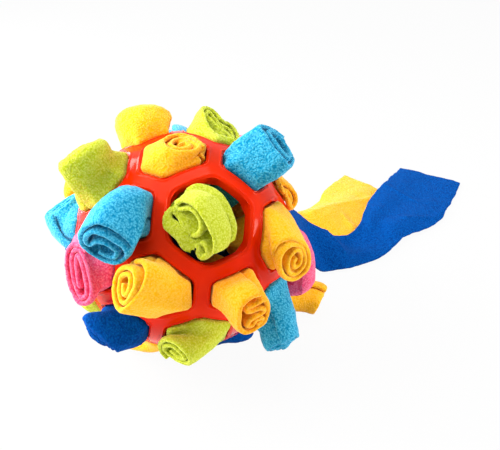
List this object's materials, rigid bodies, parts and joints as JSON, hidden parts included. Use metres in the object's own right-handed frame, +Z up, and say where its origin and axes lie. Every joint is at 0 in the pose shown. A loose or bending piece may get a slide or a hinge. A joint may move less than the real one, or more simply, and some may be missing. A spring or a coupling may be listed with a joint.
{
  "type": "snuffle ball",
  "caption": "Rubber lattice ball whose openings hold rolled fleece strips that hide treats, with long loose strips trailing from one side.",
  "frame": {"origin": "on the floor under the ball, on the flat end of the roll that the ball rests on", "axes": "+Z up; -Y faces the viewer of the picture, whose left is -X"},
  "size_m": [0.2856, 0.2867, 0.1429],
  "materials": {
    "rubber_red": "moulded rubber, semi-gloss",
    "fleece_yellow": "brushed fleece, matt",
    "fleece_golden": "brushed fleece, matt",
    "fleece_lime": "brushed fleece, matt",
    "fleece_cyan": "brushed fleece, matt",
    "fleece_pink": "brushed fleece, matt",
    "fleece_blue": "brushed fleece, matt"
  },
  "bodies": {
    "ball": {"lattice_ball": "rubber_red", "tail_knot": "fleece_blue", "blue_tail_strip": "fleece_blue", "yellow_tail_strip": "fleece_yellow"},
    "yellow_roll_top_body": {"yellow_roll_top": "fleece_yellow"},
    "yellow_roll_upper_front_body": {"yellow_roll_upper_front": "fleece_golden"},
    "lime_roll_top_body": {"lime_roll_top": "fleece_lime"},
    "lime_roll_upper_left_body": {"lime_roll_upper_left": "fleece_lime"},
    "cyan_roll_upper_right_body": {"cyan_roll_upper_right": "fleece_cyan"},
    "cyan_roll_left_body": {"cyan_roll_left": "fleece_cyan"},
    "cyan_roll_far_left_body": {"cyan_roll_far_left": "fleece_cyan"},
    "pink_roll_left_body": {"pink_roll_left": "fleece_pink"},
    "pink_roll_right_body": {"pink_roll_right": "fleece_pink"},
    "yellow_roll_lower_left_body": {"yellow_roll_lower_left": "fleece_yellow"},
    "yellow_roll_right_body": {"yellow_roll_right": "fleece_yellow"},
    "golden_roll_lower_right_body": {"golden_roll_lower_right": "fleece_golden"},
    "golden_roll_right_body": {"golden_roll_right": "fleece_golden"},
    "lime_roll_bottom_body": {"lime_roll_bottom": "fleece_lime"},
    "cyan_roll_lower_right_body": {"cyan_roll_lower_right": "fleece_cyan"},
    "blue_roll_lower_left_body": {"blue_roll_lower_left": "fleece_blue"},
    "lime_roll_low_left_body": {"lime_roll_low_left": "fleece_lime"},
    "yellow_roll_behind_left_body": {"yellow_roll_behind_left": "fleece_yellow"},
    "pink_roll_behind_top_body": {"pink_roll_behind_top": "fleece_pink"},
    "cyan_roll_behind_top_body": {"cyan_roll_behind_top": "fleece_cyan"},
    "lime_roll_back_body": {"lime_roll_back": "fleece_lime"},
    "blue_roll_behind_left_body": {"blue_roll_behind_left": "fleece_blue"},
    "golden_roll_back_body": {"golden_roll_back": "fleece_golden"},
    "blue_roll_under_front_body": {"blue_roll_under_front": "fleece_blue"},
    "yellow_roll_under_right_body": {"yellow_roll_under_right": "fleece_yellow"},
    "yellow_roll_under_left_body": {"yellow_roll_under_left": "fleece_yellow"},
    "pink_roll_low_back_body": {"pink_roll_low_back": "fleece_pink"},
    "lime_roll_low_behind_body": {"lime_roll_low_behind": "fleece_lime"},
    "cyan_roll_low_back_body": {"cyan_roll_low_back": "fleece_cyan"},
    "cyan_roll_under_body": {"cyan_roll_under": "fleece_cyan"},
    "lime_bunch_body": {"lime_bunch": "fleece_lime"}
  },
  "joints": [
    {"name": "yellow_roll_top_pull", "type": "slide", "parent": "ball", "child": "yellow_roll_top_body", "axis": [-0.3366, 0.3582, 0.8709], "range_m": [0, 0.02]},
    {"name": "yellow_roll_upper_front_pull", "type": "slide", "parent": "ball", "child": "yellow_roll_upper_front_body", "axis": [-0.0475, -0.1838, 0.9818], "range_m": [0, 0.02]},
    {"name": "lime_roll_top_pull", "type": "slide", "parent": "ball", "child": "lime_roll_top_body", "axis": [0.299, 0.4105, 0.8614], "range_m": [0, 0.02]},
    {"name": "lime_roll_upper_left_pull", "type": "slide", "parent": "ball", "child": "lime_roll_upper_left_body", "axis": [-0.6895, -0.148, 0.709], "range_m": [0, 0.02]},
    {"name": "cyan_roll_upper_right_pull", "type": "slide", "parent": "ball", "child": "cyan_roll_upper_right_body", "axis": [0.5691, -0.1433, 0.8097], "range_m": [0, 0.02]},
    {"name": "cyan_roll_left_pull", "type": "slide", "parent": "ball", "child": "cyan_roll_left_body", "axis": [-0.3437, -0.659, 0.669], "range_m": [0, 0.02]},
    {"name": "cyan_roll_far_left_pull", "type": "slide", "parent": "ball", "child": "cyan_roll_far_left_body", "axis": [-0.9898, -0.0318, 0.1388], "range_m": [0, 0.02]},
    {"name": "pink_roll_left_pull", "type": "slide", "parent": "ball", "child": "pink_roll_left_body", "axis": [-0.7453, -0.6363, 0.1994], "range_m": [0, 0.02]},
    {"name": "pink_roll_right_pull", "type": "slide", "parent": "ball", "child": "pink_roll_right_body", "axis": [0.9922, 0.0157, -0.1237], "range_m": [0, 0.02]},
    {"name": "yellow_roll_lower_left_pull", "type": "slide", "parent": "ball", "child": "yellow_roll_lower_left_body", "axis": [-0.1383, -0.9786, 0.1522], "range_m": [0, 0.02]},
    {"name": "yellow_roll_right_pull", "type": "slide", "parent": "ball", "child": "yellow_roll_right_body", "axis": [0.8561, -0.4168, 0.3055], "range_m": [0, 0.02]},
    {"name": "golden_roll_lower_right_pull", "type": "slide", "parent": "ball", "child": "golden_roll_lower_right_body", "axis": [0.4857, -0.8728, 0.0483], "range_m": [0, 0.02]},
    {"name": "golden_roll_right_pull", "type": "slide", "parent": "ball", "child": "golden_roll_right_body", "axis": [0.8542, 0.2674, 0.446], "range_m": [0, 0.02]},
    {"name": "lime_roll_bottom_pull", "type": "slide", "parent": "ball", "child": "lime_roll_bottom_body", "axis": [0.153, -0.8678, -0.4728], "range_m": [0, 0.02]},
    {"name": "cyan_roll_lower_right_pull", "type": "slide", "parent": "ball", "child": "cyan_roll_lower_right_body", "axis": [0.7639, -0.5226, -0.3787], "range_m": [0, 0.02]},
    {"name": "blue_roll_lower_left_pull", "type": "slide", "parent": "ball", "child": "blue_roll_lower_left_body", "axis": [-0.4702, -0.8106, -0.3491], "range_m": [0, 0.02]},
    {"name": "lime_roll_low_left_pull", "type": "slide", "parent": "ball", "child": "lime_roll_low_left_body", "axis": [-0.854, -0.2869, -0.434], "range_m": [0, 0.02]},
    {"name": "yellow_roll_behind_left_pull", "type": "slide", "parent": "ball", "child": "yellow_roll_behind_left_body", "axis": [-0.763, 0.5097, 0.3976], "range_m": [0, 0.02]},
    {"name": "pink_roll_behind_top_pull", "type": "slide", "parent": "ball", "child": "pink_roll_behind_top_body", "axis": [0.4791, 0.7981, 0.3653], "range_m": [0, 0.02]},
    {"name": "cyan_roll_behind_top_pull", "type": "slide", "parent": "ball", "child": "cyan_roll_behind_top_body", "axis": [-0.1469, 0.8578, 0.4925], "range_m": [0, 0.02]},
    {"name": "lime_roll_back_pull", "type": "slide", "parent": "ball", "child": "lime_roll_back_body", "axis": [0.1394, 0.9787, -0.1508], "range_m": [0, 0.02]},
    {"name": "blue_roll_behind_left_pull", "type": "slide", "parent": "ball", "child": "blue_roll_behind_left_body", "axis": [-0.857, 0.4157, -0.3044], "range_m": [0, 0.02]},
    {"name": "golden_roll_back_pull", "type": "slide", "parent": "ball", "child": "golden_roll_back_body", "axis": [-0.485, 0.8729, -0.0528], "range_m": [0, 0.02]},
    {"name": "blue_roll_under_front_pull", "type": "slide", "parent": "ball", "child": "blue_roll_under_front_body", "axis": [0.3449, -0.3758, -0.8601], "range_m": [0, 0.02]},
    {"name": "yellow_roll_under_right_pull", "type": "slide", "parent": "ball", "child": "yellow_roll_under_right_body", "axis": [0.7026, 0.132, -0.6992], "range_m": [0, 0.02]},
    {"name": "yellow_roll_under_left_pull", "type": "slide", "parent": "ball", "child": "yellow_roll_under_left_body", "axis": [-0.2943, -0.4312, -0.8529], "range_m": [0, 0.02]},
    {"name": "pink_roll_low_back_pull", "type": "slide", "parent": "ball", "child": "pink_roll_low_back_body", "axis": [0.3394, 0.6604, -0.6699], "range_m": [0, 0.02]},
    {"name": "lime_roll_low_behind_pull", "type": "slide", "parent": "ball", "child": "lime_roll_low_behind_body", "axis": [-0.5679, 0.1478, -0.8097], "range_m": [0, 0.02]},
    {"name": "cyan_roll_low_back_pull", "type": "slide", "parent": "ball", "child": "cyan_roll_low_back_body", "axis": [-0.2993, 0.7051, -0.6428], "range_m": [0, 0.02]},
    {"name": "cyan_roll_under_pull", "type": "slide", "parent": "ball", "child": "cyan_roll_under_body", "axis": [0.0484, 0.1824, -0.982], "range_m": [0, 0.02]},
    {"name": "lime_bunch_pull", "type": "slide", "parent": "ball", "child": "lime_bunch_body", "axis": [0.2993, -0.7051, 0.6428], "range_m": [0, 0.02]}
  ]
}
